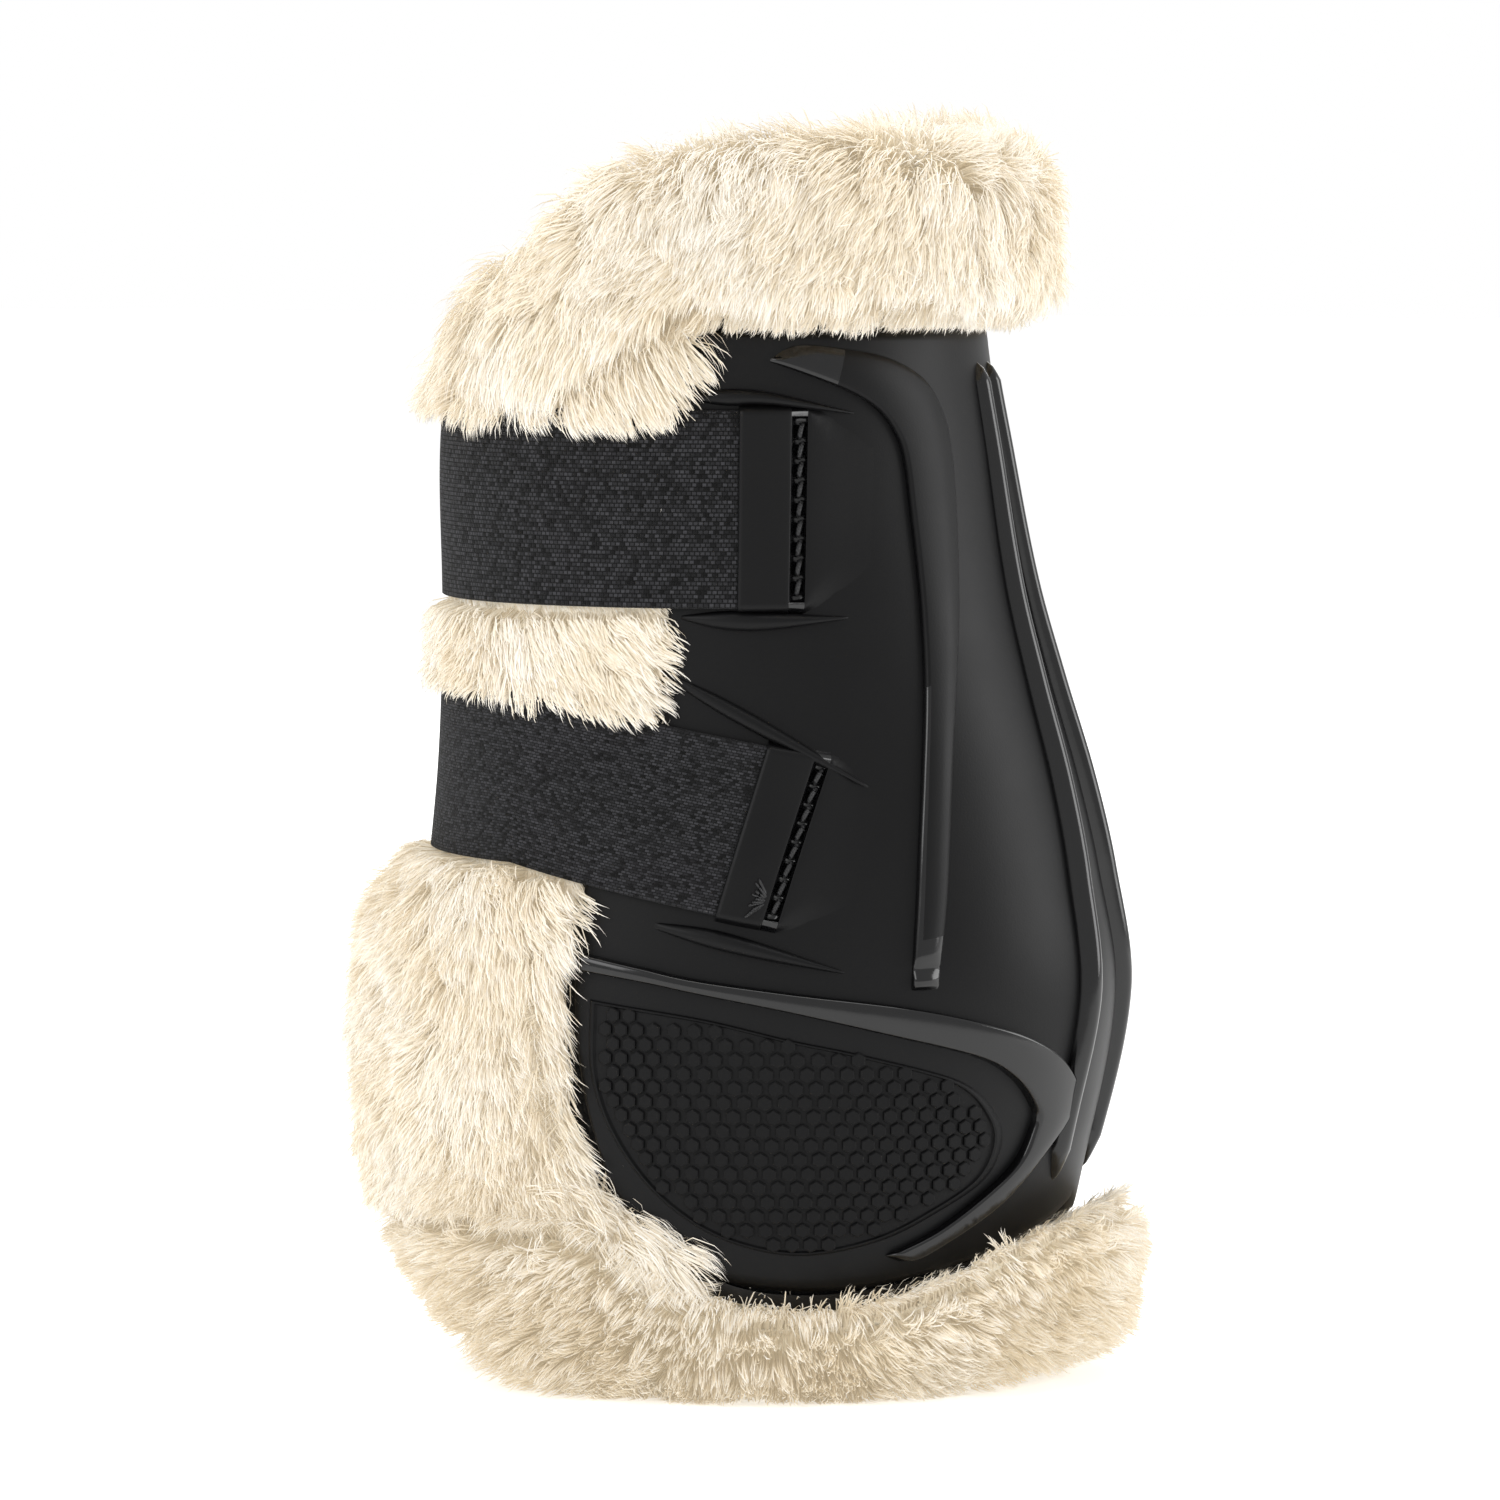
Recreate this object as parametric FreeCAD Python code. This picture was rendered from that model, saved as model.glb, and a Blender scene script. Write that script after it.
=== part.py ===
"""A fetlock-height tendon boot for a horse's leg, in millimetres.

A moulded shell with raised ribs wraps the back and both sides of the leg. Inside it lie a thin knitted
backing and a thick fur lining, which folds out over the collar, the front edges and the foot of the boot.
Two elastic straps are stitched under ports in the shell on the anchor side, cross the open front and
close by hook and loop on the other side.

+X points to the tendons at the back, -Y to the anchor side, +Y to the closure side and +Z up the leg.
The origin is on the leg's axis, in the plane that the boot stands on.
"""
import FreeCAD, Part
import math
import os

# ---- the leg and the outer form ----
LEG_RADIUS = 32.0            # round opening in the lining along the cannon bone
LEG_ROUND_FROM = 96.0        # from about this height up the opening is round
# height, and how far the inside of the lining is from the axis at the back, at the sides and in front
LEG_ROOM = (
    (-6.0, 43.0, 36.0, 40.0),
    (20.0, 46.5, 36.5, 42.0),
    (58.0, 48.0, 37.0, 42.0),
    (78.0, 41.5, 34.6, 37.2),
    (100.0, 31.0, 31.0, 31.0),
)
# height, and how far the outside of the shell is from the axis at the back, at the sides and in front
OUTSIDE = (
    (-6.0, 48.0, 42.5, 44.0),
    (10.0, 50.0, 44.0, 46.0),
    (30.0, 55.0, 46.0, 48.0),
    (60.0, 60.8, 47.0, 49.0),
    (80.0, 58.0, 45.5, 47.0),
    (95.0, 54.5, 43.5, 45.5),
    (110.0, 50.0, 42.0, 45.0),
    (125.0, 46.0, 41.0, 45.0),
    (145.0, 42.5, 40.3, 45.3),
    (165.0, 39.5, 40.0, 44.0),
    (185.0, 39.0, 40.0, 43.0),
)
# the same for the fur that bulges in front below the lower strap
FRONT_BULGE = (
    (-6.0, 48.0, 42.5, 42.0),
    (10.0, 50.0, 44.0, 48.0),
    (30.0, 55.0, 46.0, 56.0),
    (50.0, 59.0, 46.7, 59.0),
    (66.0, 60.0, 46.4, 57.0),
    (75.0, 59.0, 45.9, 52.0),
    (81.0, 57.8, 45.4, 48.0),
    (88.0, 56.2, 44.5, 46.2),
    (98.0, 53.8, 43.2, 45.4),
    (110.0, 50.0, 42.0, 45.0),
    (125.0, 46.0, 41.0, 45.0),
    (145.0, 42.5, 40.3, 45.3),
    (165.0, 39.5, 40.0, 44.0),
)
SECTION_POINTS = 24          # points on each horizontal outline
FRONT_GAP = 7.0              # width of the open slit down the front of the boot
REACH = 90.0                 # past the boot's surface in any direction

# ---- layers, as distances outwards from the shell's outer surface ----
GAP = 0.1                    # between layers that lie on each other in one body
CLEAR = 0.3                  # between bodies that move
SHELL_THICK = 2.2
BACKING_THICK = 2.1
BACKING_OUT = -SHELL_THICK - GAP
BACKING_IN = BACKING_OUT - BACKING_THICK
LINING_OUT = BACKING_IN - GAP

# ---- straps ----
ELASTIC_THICK = 1.4
STRAP_IN = CLEAR             # the straps' inner face where they cross the shell and the front
STRAP_OUT = STRAP_IN + ELASTIC_THICK
LOOP_IN = GAP
LOOP_OUT = LOOP_IN + 1.15
HOOK_IN = LOOP_OUT + CLEAR
HOOK_OUT = HOOK_IN + 1.0
SEWN_GAP = 0.05              # between pieces sewn to each other
THREAD_GAP = 0.2             # under the straight stitches, which lie across a curved face
END_IN = HOOK_OUT + SEWN_GAP # the straps' inner face where they lie over the hook patches
END_OUT = END_IN + ELASTIC_THICK
WRAP = math.radians(80.0)    # how far round from the front the straps reach that height
ROOT_OUT = BACKING_OUT - SEWN_GAP
ROOT_IN = ROOT_OUT - ELASTIC_THICK
ROOT_LENGTH = 14.0           # how far a strap's root runs on under the shell past its port
PORT_WIDTH = 1.8             # the slot that a strap comes out of
THREAD_RADIUS = 0.35
STITCH_LENGTH = 2.2
STITCH_PITCH = 3.0
GROOVE_DEEP = 0.9            # the grooves for the straps' stitches
UPPER_GROOVE = (19.0, 21.2)
LOWER_GROOVE = (7.0, 9.2)    # from the lower port's edge


def vector(x, y, z):
    return FreeCAD.Vector(x, y, z)


def along(table, height):
    """The three distances that a table gives at a height, by straight interpolation."""
    for low, high in zip(table, table[1:]):
        if height <= high[0] or high is table[-1]:
            part = (height - low[0]) / (high[0] - low[0])
            return [a + (b - a) * part for a, b in zip(low[1:], high[1:])]


def surface_point(angle, height, offset, table=OUTSIDE):
    """A point on the boot's outside at an angle from +X, moved outwards by an offset."""
    back, side, front = along(table, height)
    reach = back if math.cos(angle) > 0 else front
    return vector((reach + offset) * math.cos(angle), (side + offset) * math.sin(angle), height)


def section(row, offset, table):
    """A closed smooth horizontal outline at one row of a table; offset may depend on the angle."""
    points = []
    for step in range(SECTION_POINTS):
        angle = 2 * math.pi * step / SECTION_POINTS
        out = offset(angle) if callable(offset) else offset
        points.append(surface_point(angle, row[0], out, table))
    curve = Part.BSplineCurve()
    curve.interpolate(points, PeriodicFlag=True)
    return Part.Wire([curve.toShape()])


def form(offset=0.0, table=OUTSIDE):
    """The solid inside a table's surface, moved outwards by an offset."""
    return Part.makeLoft([section(row, offset, table) for row in table], True, False)


def layer(outer, inner, table=OUTSIDE):
    """A wall between two offsets of one surface."""
    return form(outer, table).cut(form(inner, table))


def box(x0, x1, y0, y1, z0, z1):
    return Part.makeBox(x1 - x0, y1 - y0, z1 - z0, vector(x0, y0, z0))


def side_plate(runs, y0, y1):
    """An outline in the XZ plane, pulled along Y. A run of two points is straight, a longer one a curve."""
    edges = []
    for run in runs:
        points = [vector(x, y0, z) for x, z in run]
        if len(points) == 2:
            edges.append(Part.makeLine(*points))
        else:
            curve = Part.BSplineCurve()
            curve.interpolate(points)
            edges.append(curve.toShape())
    return Part.Face(Part.Wire(edges)).extrude(vector(0, y1 - y0, 0))


def near_side(*runs):
    return side_plate(runs, -REACH, 0.0)


def far_side(*runs):
    return side_plate(runs, 0.0, REACH)


def both_sides(*runs):
    return side_plate(runs, -REACH, REACH)


def straight(*corners):
    """The straight runs round a polygon."""
    return tuple(zip(corners, corners[1:] + corners[:1]))


def along_surface(rows, table=OUTSIDE):
    """A moulding on the surface from horizontal cuts: height, and (angle in degrees, offset) corners."""
    wires = []
    for height, corners in rows:
        points = [surface_point(math.radians(a), height, out, table) for a, out in corners]
        wires.append(Part.makePolygon(points + points[:1]))
    return Part.makeLoft(wires, True, False)


def mirrored(shape):
    return shape.mirror(vector(0, 0, 0), vector(0, 1, 0))


def save(name, shape):
    """Writes a node, and prints how many solids it has, its volume and its box."""
    shape = Part.makeCompound(shape.Solids)
    good = shape.isValid() and shape.Solids and all(solid.Volume > 0 for solid in shape.Solids)
    size = shape.optimalBoundingBox(False)
    print(f"{name:25s}{len(shape.Solids):3d} {shape.Volume:9.1f} mm3"
          f"  x {size.XMin:6.1f} {size.XMax:6.1f}  y {size.YMin:6.1f} {size.YMax:6.1f}"
          f"  z {size.ZMin:6.1f} {size.ZMax:6.1f}{'' if good else '  BAD'}")
    shape.exportStep(f"parts/{name}.step")


os.makedirs("parts", exist_ok=True)

# ---- shared outlines, in the XZ plane ----
FRONT_SLIT = box(-REACH, 0, -FRONT_GAP / 2, FRONT_GAP / 2, -REACH, 3 * REACH)
# where the collar's fold of fur meets everything below it
COLLAR_LINE = ((REACH, 168.7), (6.0, 168.7), (-8.0, 159.5), (-22.0, 156.5), (-REACH, 156.0))
UNDER_COLLAR = both_sides(*straight(*COLLAR_LINE, (-REACH, -REACH), (REACH, -REACH)))
# the shell's edge, from the top front corner down its front and along its foot
SHELL_FRONT = ((8.0, 166.0), (3.5, 163.0), (1.0, 155.0), (0.0, 135.0), (0.0, 120.0), (-2.0, 105.0),
               (-7.0, 93.0), (-12.0, 82.0), (-14.0, 65.0), (-12.5, 48.0), (-8.0, 33.0), (0.0, 23.5),
               (12.0, 18.0), (28.0, 17.0), (43.0, 20.5), (57.0, 29.0), (70.0, 37.0))
SHELL_TOP = 164.6
# the backing's foot, which shows just below the shell's, and where the folded fur starts below it
BACKING_FOOT = ((-20.0, 26.5), (-9.0, 25.0), (0.0, 19.8), (12.0, 14.8), (28.0, 13.8), (43.0, 17.4),
                (57.0, 25.9), (70.0, 34.0))


def behind(edge, top):
    """Everything behind a curved edge that runs from its top corner to its foot, up to a height."""
    low = (REACH, edge[-1][1])
    high = (REACH, top)
    return both_sides(edge, (edge[-1], low), (low, high), (high, edge[0]))


UNDER_SHELL = behind(SHELL_FRONT, SHELL_TOP)

# ---- straps' outlines: each is flat-sided and as seen from the side ----
UPPER_LOW = 122.5
UPPER_HIGH = 152.5
UPPER_PORT = 11.5            # where the upper strap goes under the shell
UPPER_END = 28.0             # how far back the upper strap's end reaches on the closure side
LOWER_END = 17.0             # the same for the lower strap, from the mirrored port's edge
LOWER_PORT = ((9.5, 75.5), (16.5, 101.0))     # the lower port's sloping edge, foot then top
LOWER_TOP = ((-20.0, 108.5), (-REACH, 110.5))
LOWER_FOOT = ((-REACH, 83.5), (-25.0, 82.5))
LOWER_LEAN = (LOWER_PORT[1][0] - LOWER_PORT[0][0]) / (LOWER_PORT[1][1] - LOWER_PORT[0][1])
LOWER_FALL = (LOWER_PORT[1][1] - LOWER_TOP[0][1]) / (LOWER_PORT[1][0] - LOWER_TOP[0][0])


def upper_band(x0, x1, inset=0.0):
    """The upper strap's band between two distances from the leg's axis."""
    low = UPPER_LOW + inset
    high = UPPER_HIGH - inset
    return straight((x0, low), (x1, low), (x1, high), (x0, high))


def lower_corners(shift, inset=0.0):
    """The foot and top corner of a line across the lower strap, shifted along it from the port's edge."""
    (foot_x, foot_z), (top_x, top_z) = LOWER_PORT
    foot = (foot_x + shift + inset * LOWER_LEAN, foot_z + shift * LOWER_FALL + inset)
    top = (top_x + shift - inset * LOWER_LEAN, top_z + shift * LOWER_FALL - inset)
    return foot, top


def lower_band(shift0, shift1, inset=0.0):
    """The lower strap's band between two lines across it."""
    foot0, top0 = lower_corners(shift0, inset)
    foot1, top1 = lower_corners(shift1, inset)
    return straight(foot0, foot1, top1, top0)


def lower_front(shift):
    """The lower strap from the front of the boot to a line across it."""
    return straight(*lower_corners(shift), *LOWER_TOP, *LOWER_FOOT)


# ---- moulded shell ----
def side_mouldings():
    """The raised shapes on one side of the shell, as they are on the anchor side."""
    rib = along_surface((
        (160.5, ((-50.0, -0.5), (-48.0, 0.9), (-34.0, 0.7), (-30.0, -0.5))),
        (150.0, ((-41.5, -0.5), (-40.0, 1.3), (-29.0, 0.6), (-25.0, -0.5))),
        (137.0, ((-38.5, -0.5), (-37.5, 1.3), (-29.0, 0.6), (-25.0, -0.5))),
        (105.0, ((-43.0, -0.5), (-42.0, 1.3), (-38.0, 0.6), (-35.5, -0.5))),
        (82.0, ((-48.6, -0.5), (-47.8, 1.3), (-44.0, 0.6), (-42.0, -0.5))),
        (64.0, ((-51.0, -0.5), (-50.2, 0.9), (-47.5, 0.5), (-46.0, -0.5))),
    ))
    arm = near_side(*straight((15.0, 160.3), (20.0, 163.0), (34.0, 161.5), (33.0, 151.0), (27.0, 156.0)))
    crescent = near_side(
        ((-11.5, 69.2), (6.0, 65.8), (37.5, 61.0), (49.3, 57.4), (55.0, 53.2), (57.0, 47.5), (54.8, 39.8),
         (48.0, 30.0), (37.0, 21.8)),
        ((37.0, 21.8), (33.5, 22.3)),
        ((33.5, 22.3), (41.5, 27.0), (49.2, 34.4), (52.2, 41.5), (51.8, 46.8), (45.8, 53.1), (34.8, 56.7),
         (6.0, 63.4), (-11.5, 66.4)),
        ((-11.5, 66.4), (-11.5, 69.2)),
    )
    return [rib, arm.common(layer(0.9, -0.8)), crescent.common(layer(1.9, -0.5))]


def spine_bead():
    """One of the twin beads down the back, on the anchor side: height, distance across, height proud."""
    rows = ((159.0, 3.2, 1.4), (140.0, 4.0, 1.8), (112.0, 6.0, 2.4), (82.0, 8.5, 2.6), (60.0, 10.5, 2.4),
            (45.0, 11.5, 2.2), (32.0, 11.0, 1.6))
    cuts = []
    for height, across, proud in rows:
        back, side, _ = along(OUTSIDE, height)
        middle = -math.degrees(math.asin(across / side))
        half = math.degrees(1.9 / back)
        shoulder = 0.7 * half
        cuts.append((height, ((middle - half, -0.5), (middle - shoulder, 0.75 * proud), (middle, proud),
                              (middle + shoulder, 0.75 * proud), (middle + half, -0.5))))
    return along_surface(cuts)


def eyelids():
    """The ridges above and below each strap port, on the anchor side only."""
    ridges = (
        straight((4.0, 155.9), (15.0, 156.4), (27.0, 152.6), (26.0, 151.8), (14.0, 154.2), (4.0, 153.8)),
        straight((3.0, 121.2), (14.0, 121.2), (26.0, 121.4), (26.5, 120.2), (14.0, 118.9), (3.0, 119.2)),
        straight((2.0, 112.5), (16.0, 105.2), (31.0, 95.5), (30.0, 94.4), (15.0, 102.6), (2.0, 110.2)),
        straight((0.5, 74.6), (14.0, 71.6), (28.0, 67.3), (27.5, 66.0), (13.0, 69.4), (0.0, 72.6)),
    )
    wall = layer(1.7, -0.65)
    return [near_side(*ridge).common(wall) for ridge in ridges]


def port_slots():
    """What the two strap ports and the stitch grooves take out of the shell."""
    slots = [
        near_side(*upper_band(UPPER_PORT, UPPER_PORT + PORT_WIDTH, -0.3)),
        near_side(*lower_band(0.0, PORT_WIDTH, -0.3)),
    ]
    wall = layer(3.0, -GROOVE_DEEP)
    grooves = [near_side(*upper_band(*UPPER_GROOVE, 0.5)), near_side(*lower_band(*LOWER_GROOVE, 1.0))]
    return slots + [groove.common(wall) for groove in grooves]


PAD_OUTLINE = (
    ((-11.5, 62.0), (7.0, 59.7), (29.6, 54.6), (42.5, 50.5), (48.5, 45.0), (49.3, 38.5), (44.5, 31.0),
     (34.0, 25.0), (20.0, 23.2), (7.0, 26.5), (-1.5, 33.0), (-8.0, 42.0), (-11.0, 51.0), (-11.5, 62.0)),
)
PAD_SEAT = -1.1              # how deep the strike pads' seats lie in the shell

wall = layer(0.0, -SHELL_THICK).common(UNDER_SHELL)
half = wall.common(box(-REACH, REACH, -REACH, 0, -REACH, 3 * REACH))
for moulding in side_mouldings():
    half = half.fuse(moulding.common(UNDER_SHELL))
half = half.fuse(spine_bead())
half = half.cut(near_side(*PAD_OUTLINE).common(layer(3.0, PAD_SEAT)))
anchor_half = half
for ridge in eyelids():
    anchor_half = anchor_half.fuse(ridge)
for slot in port_slots():
    anchor_half = anchor_half.cut(slot)
save("shell", anchor_half.fuse(mirrored(half)))

# ---- strike pads, bonded into seats low on both sides of the shell ----
pad = near_side(*PAD_OUTLINE).common(layer(0.25, PAD_SEAT + SEWN_GAP))
save("strike_pad_anchor_side", pad)
save("strike_pad_closure_side", mirrored(pad))

# ---- knitted backing, which shows above the shell's collar and below its foot ----
FRONT_FOOT = (-REACH, BACKING_FOOT[0][1])
ABOVE_FOOT = both_sides(
    BACKING_FOOT,
    (BACKING_FOOT[-1], (REACH, 34.0)),
    ((REACH, 34.0), (REACH, 2 * REACH)),
    ((REACH, 2 * REACH), (-REACH, 2 * REACH)),
    ((-REACH, 2 * REACH), FRONT_FOOT),
    (FRONT_FOOT, BACKING_FOOT[0]),
)
root_rooms = [
    near_side(*upper_band(UPPER_PORT - 0.6, UPPER_PORT + ROOT_LENGTH + 0.6, -0.6)),
    near_side(*lower_band(-0.6, ROOT_LENGTH + 0.6, -0.6)),
]
room_wall = layer(BACKING_OUT + 1.0, ROOT_IN - SEWN_GAP)
backing = layer(BACKING_OUT, BACKING_IN).common(UNDER_COLLAR).common(ABOVE_FOOT).cut(FRONT_SLIT)
for room in root_rooms:
    backing = backing.cut(room.common(room_wall))
save("backing", backing)

# ---- binding tapes along the backing's two bare edges ----
TAPE_OUT = -1.1
tape_wall = layer(TAPE_OUT, BACKING_OUT + SEWN_GAP)
save("top_binding", tape_wall.common(box(6.5, REACH, -REACH, REACH, SHELL_TOP + 1.7, 168.6)))
FLAP_BACK = 3.0              # how far back the front flaps of fur reach
foot_tape = (
    ((4.0, 21.2), (12.0, 17.5), (28.0, 16.5), (43.0, 20.0), (54.0, 26.3)),
    ((54.0, 26.3), (56.0, 25.3)),
    ((56.0, 25.3), (43.0, 17.6), (28.0, 14.0), (12.0, 15.0), (2.0, 19.0)),
    ((2.0, 19.0), (4.0, 21.2)),
)
foot_binding = tape_wall.common(both_sides(*foot_tape)).common(ABOVE_FOOT.translated(vector(0, 0, GAP)))
foot_binding = foot_binding.cut(UNDER_SHELL.translated(vector(0, 0, -GAP)))
save("bottom_binding", foot_binding.common(box(FLAP_BACK + CLEAR, REACH, -REACH, REACH, 0, 60.0)))

# ---- fur lining, with its folds at the collar, the foot and the two front edges ----
lining = form(LINING_OUT).common(box(-REACH, REACH, -REACH, REACH, 0, 2 * REACH))
lining = lining.cut(form(0.0, LEG_ROOM))
lining = lining.cut(Part.makeCylinder(LEG_RADIUS, REACH, vector(0, 0, LEG_ROUND_FROM)))
save("fur_lining", lining.common(UNDER_COLLAR).cut(FRONT_SLIT))


def collar_section(angle, low, high, outer):
    """The fold of fur at the collar, cut at an angle from +X: a rounded oblong on end."""
    middle = (COLLAR_INNER + outer) / 2
    wide = (outer - COLLAR_INNER) / 2
    tall = (high - low) / 2
    points = []
    for step in range(12):
        turn = 2 * math.pi * step / 12
        out = middle + wide * math.copysign(abs(math.cos(turn)) ** 0.8, math.cos(turn))
        up = (low + high) / 2 + tall * math.copysign(abs(math.sin(turn)) ** 0.8, math.sin(turn))
        points.append(vector(out * math.cos(angle), out * math.sin(angle), up))
    curve = Part.BSplineCurve()
    curve.interpolate(points, PeriodicFlag=True)
    return Part.Wire([curve.toShape()])


COLLAR_INNER = LEG_RADIUS + 0.8
# angle from the back, lowest, highest and how far out
COLLAR = (
    (0, 164.0, 192.5, 50.5), (30, 164.0, 194.5, 50.0), (60, 163.0, 195.5, 48.5), (90, 160.0, 193.5, 46.5),
    (120, 154.0, 186.5, 45.5), (150, 151.0, 176.0, 45.0), (176, 150.5, 170.5, 44.5),
)
turns = [(-angle, *rest) for angle, *rest in reversed(COLLAR[1:])] + list(COLLAR)
collar = Part.makeLoft([collar_section(math.radians(a), *rest) for a, *rest in turns], True, False)
if collar.Volume < 0:
    collar.reverse()
COLLAR_FLOOR = UNDER_COLLAR.translated(vector(0, 0, GAP))
save("top_fur_roll", collar.cut(COLLAR_FLOOR).cut(FRONT_SLIT))

# height, and the outside of the fold at the foot towards the back, the sides and the front
FOOT_ROLL = (
    (-6.0, 43.0, 37.5, 38.0), (0.0, 51.0, 43.5, 43.0), (5.0, 58.0, 47.5, 46.0), (12.0, 62.0, 49.5, 48.5),
    (20.0, 63.5, 50.0, 51.0), (28.0, 62.5, 49.0, 53.5), (40.0, 60.0, 47.5, 56.0),
)
foot = form(0.0, FOOT_ROLL).cut(form(LINING_OUT + GAP))
foot = foot.common(box(-REACH, REACH, -REACH, REACH, 0, 45.0))
foot = foot.cut(ABOVE_FOOT.translated(vector(0, 0, -GAP)))
save("bottom_fur_roll", foot.cut(FRONT_SLIT))

SHELL_JOINT = 0.5            # between the shell's front edge and the fur folded up to it
PRESSED = 0.2                # how far the fur is pressed in under the lower strap
flap_edge = tuple((x - SHELL_JOINT, z) for x, z in SHELL_FRONT)
flaps = form(0.0, FRONT_BULGE).cut(form(-SHELL_THICK)).common(UNDER_COLLAR).common(ABOVE_FOOT)
flaps = flaps.cut(behind(flap_edge, SHELL_TOP)).common(box(-REACH, FLAP_BACK, -REACH, REACH, 0, 170.0))
# the lower strap presses the fur flat where it crosses it
pressed = both_sides(*straight((9.0, 80.5), *LOWER_TOP, (-REACH, 82.0)))
flaps = flaps.cut(layer(15.0, -PRESSED).common(pressed))
flap = flaps.cut(FRONT_SLIT).common(box(-REACH, REACH, -REACH, 0, 0, 170.0))
save("front_flap_anchor_side", flap)
save("front_flap_closure_side", mirrored(flap))


# ---- straps ----
def lift(inner):
    """The straps' distance off the shell: flat to the front, rising over the hook patches round the side."""
    def offset(angle):
        share = min(1.0, abs(math.pi - angle) / WRAP)
        return inner + (END_IN - STRAP_IN) * share * share * (3 - 2 * share)
    return offset


def stitches(start, stop, side, offset):
    """A row of separate stitches between two XZ points on the anchor side, -1, or the closure side, 1."""
    (x0, z0), (x1, z1) = start, stop
    length = math.hypot(x1 - x0, z1 - z0)
    count = int((length - STITCH_LENGTH) / STITCH_PITCH) + 1
    first = (length - (count - 1) * STITCH_PITCH) / 2
    found = []
    for number in range(count):
        ends = []
        for way in (-0.5, 0.5):
            share = (first + number * STITCH_PITCH + way * STITCH_LENGTH) / length
            x = x0 + (x1 - x0) * share
            z = z0 + (z1 - z0) * share
            back, _, front = along(OUTSIDE, z)
            reach = (back if x > 0 else front) + offset
            ends.append(surface_point(side * math.acos(x / reach), z, offset))
        run = ends[1] - ends[0]
        found.append(Part.makeCylinder(THREAD_RADIUS, run.Length, ends[0], run))
    return found


BEFORE_FRONT = box(-REACH, REACH, -REACH, -CLEAR / 2, 0, 2 * REACH)
PAST_FRONT = box(-REACH, REACH, CLEAR / 2, REACH, 0, 2 * REACH)
strap_wall = layer(STRAP_OUT, STRAP_IN)
end_wall = form(lift(STRAP_OUT)).cut(form(lift(STRAP_IN)))
root_wall = layer(ROOT_OUT, ROOT_IN)
riser_wall = layer(STRAP_OUT, ROOT_OUT - 0.5)
hook_wall = layer(HOOK_OUT, HOOK_IN)
loop_wall = layer(LOOP_OUT, LOOP_IN)
THREAD_IN_GROOVE = -GROOVE_DEEP + THREAD_RADIUS + THREAD_GAP
THREAD_ON_STRAP = END_OUT + THREAD_RADIUS + THREAD_GAP
upper_row = sum(UPPER_GROOVE) / 2
lower_row = sum(LOWER_GROOVE) / 2

STRAPS = {
    "upper": {
        "near": upper_band(-REACH, UPPER_PORT - CLEAR),
        "far": upper_band(-REACH, UPPER_END),
        "riser": upper_band(UPPER_PORT + SEWN_GAP, UPPER_PORT + PORT_WIDTH - 0.15),
        "root": upper_band(UPPER_PORT + SEWN_GAP, UPPER_PORT + ROOT_LENGTH),
        "hook": upper_band(3.0, UPPER_END - 2.0, 1.0),
        "loop": upper_band(1.6, UPPER_END - 1.0, 1.5),
        "anchor_row": ((upper_row, UPPER_LOW + 1.0), (upper_row, UPPER_HIGH - 1.0)),
        "end_rows": [((x, UPPER_LOW + 2.0), (x, UPPER_HIGH - 2.0)) for x in (4.5, UPPER_END - 3.5)],
    },
    "lower": {
        "near": lower_front(-CLEAR),
        "far": lower_front(LOWER_END),
        "riser": lower_band(SEWN_GAP, PORT_WIDTH - 0.15),
        "root": lower_band(SEWN_GAP, ROOT_LENGTH),
        "hook": lower_band(-5.0, LOWER_END - 2.0, 1.0),
        "loop": lower_band(-6.0, LOWER_END - 1.0, 0.5),
        "anchor_row": lower_corners(lower_row, 1.5),
        "end_rows": [lower_corners(shift, 2.0) for shift in (-3.5, LOWER_END - 3.5)],
    },
}
for strap, outlines in STRAPS.items():
    save(f"{strap}_strap_near", near_side(*outlines["near"]).common(strap_wall).common(BEFORE_FRONT))
    save(f"{strap}_strap_far", far_side(*outlines["far"]).common(end_wall).common(PAST_FRONT))
    riser = near_side(*outlines["riser"]).common(riser_wall)
    save(f"{strap}_strap_root", near_side(*outlines["root"]).common(root_wall).fuse(riser))
    save(f"{strap}_hook_patch", far_side(*outlines["hook"]).common(hook_wall))
    save(f"{strap}_loop_patch", far_side(*outlines["loop"]).common(loop_wall))
    anchor = stitches(*outlines["anchor_row"], -1, THREAD_IN_GROOVE)
    save(f"{strap}_anchor_stitching", Part.makeCompound(anchor))
    ends = [stitch for row in outlines["end_rows"] for stitch in stitches(*row, 1, THREAD_ON_STRAP)]
    save(f"{strap}_hook_stitching", Part.makeCompound(ends))
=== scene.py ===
"""A fetlock boot for a horse: a moulded shell, a fur lining and two elastic straps."""
import bpy
import bmesh
import math
import numpy as np
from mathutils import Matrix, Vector, noise
from mathutils.kdtree import KDTree


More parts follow.
